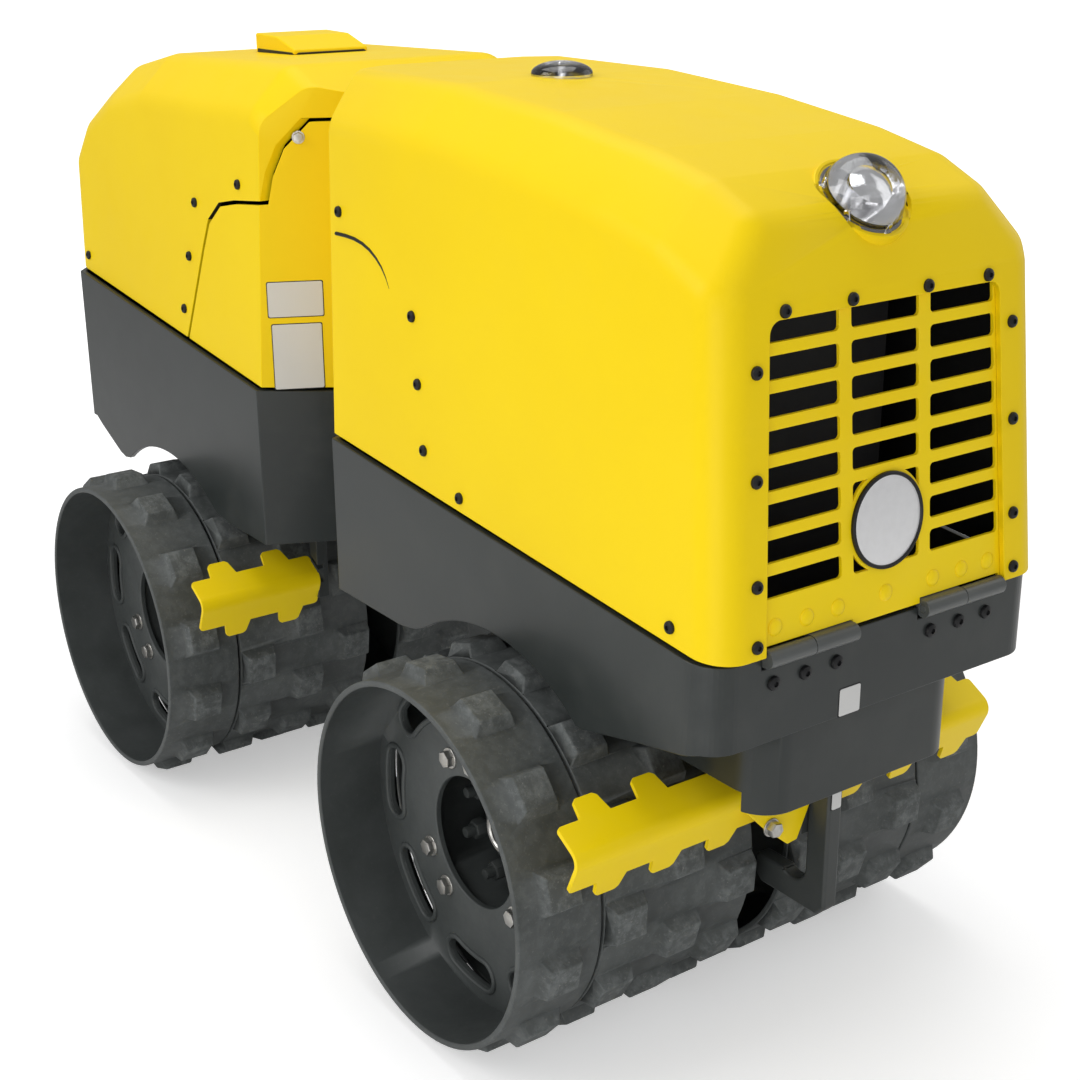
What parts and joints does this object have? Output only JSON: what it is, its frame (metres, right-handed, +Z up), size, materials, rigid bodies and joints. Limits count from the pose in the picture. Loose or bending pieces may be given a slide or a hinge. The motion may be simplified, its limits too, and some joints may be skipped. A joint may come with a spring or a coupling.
{
  "type": "articulated trench roller",
  "caption": "Articulated trench roller with lugged drums, a steering joint between its halves, tilting hoods, a slotted grille and bent scraper plates.",
  "frame": {"origin": "on the ground, midway between the two axles and midway between the drums' outer faces", "axes": "+X towards the engine half with the grille, +Y to its left, +Z up"},
  "size_m": [1.885, 0.82, 1.2579],
  "materials": {
    "yellow_hood": "satin",
    "yellow_paint": "satin",
    "frame_paint": "satin",
    "drum_paint": "worn",
    "dark_steel": "satin",
    "bright_steel": "brushed",
    "chrome_rod": "polished",
    "engine_grey": "rough",
    "lens": "clear",
    "badge_grey": "satin"
  },
  "bodies": {
    "front_half": {"front_frame": "frame_paint", "front_gear_case": "dark_steel", "front_scrapers": "yellow_paint", "front_tiedown_hook": "dark_steel", "front_hinges_fixed": "dark_steel", "engine": "engine_grey"},
    "front_hood_body": {"front_hood": "yellow_hood", "grille": "yellow_paint", "grille_badge": "badge_grey", "headlamp": "lens", "dome_lamp": "lens", "front_hinges_moving": "dark_steel"},
    "front_wheelset": {"front_axle": "dark_steel", "front_drums": "drum_paint", "front_extension_rings": "drum_paint"},
    "yoke": {"centre_yoke": "dark_steel", "oscillation_collar": "dark_steel"},
    "rear_half": {"rear_frame": "frame_paint", "rear_gear_case": "dark_steel", "rear_scrapers": "yellow_paint", "rear_scraper_arms": "dark_steel", "rear_tiedown_hook": "dark_steel", "rear_hinges_fixed": "dark_steel", "rear_panel": "yellow_hood", "hydraulic_tank": "dark_steel", "steering_pin": "bright_steel"},
    "rear_hood_body": {"rear_hood": "yellow_hood", "receiver_box": "yellow_hood", "rear_hinges_moving": "dark_steel"},
    "rear_wheelset": {"rear_axle": "dark_steel", "rear_drums": "drum_paint", "rear_extension_rings": "drum_paint"},
    "barrel": {"steering_barrel": "dark_steel"},
    "rod": {"steering_rod": "chrome_rod"}
  },
  "joints": [
    {"name": "front_drum_spin", "type": "hinge", "parent": "front_half", "child": "front_wheelset", "pos_m": [0.5, 0, 0.268], "axis": [0, 1, 0], "continuous": true},
    {"name": "rear_drum_spin", "type": "hinge", "parent": "rear_half", "child": "rear_wheelset", "pos_m": [-0.5, 0, 0.268], "axis": [0, 1, 0], "continuous": true},
    {"name": "oscillation", "type": "hinge", "parent": "front_half", "child": "yoke", "pos_m": [0.05, 0, 0.532], "axis": [1, 0, 0], "range_deg": [-7, 7]},
    {"name": "steering", "type": "hinge", "parent": "yoke", "child": "rear_half", "pos_m": [-0.02, 0, 0.532], "axis": [0, 0, 1], "range_deg": [-30, 30]},
    {"name": "front_hood_tilt", "type": "hinge", "parent": "front_half", "child": "front_hood_body", "pos_m": [0.931, 0, 0.6597], "axis": [0, 1, 0], "range_deg": [0, 60]},
    {"name": "rear_hood_tilt", "type": "hinge", "parent": "rear_half", "child": "rear_hood_body", "pos_m": [-0.931, 0, 0.84299], "axis": [0, -1, 0], "range_deg": [0, 60]},
    {"name": "barrel_swing", "type": "hinge", "parent": "rear_half", "child": "barrel", "pos_m": [-0.305, 0.1, 0.532], "axis": [0, 0, 1], "range_deg": [-2, 2]},
    {"name": "rod_slide", "type": "slide", "parent": "barrel", "child": "rod", "axis": [1, 0, 0], "range_m": [-0.054, 0.054]}
  ],
  "couplings": [
    {"joint": "rod_slide", "follows": "steering", "m_per_rad": 0.1}
  ]
}
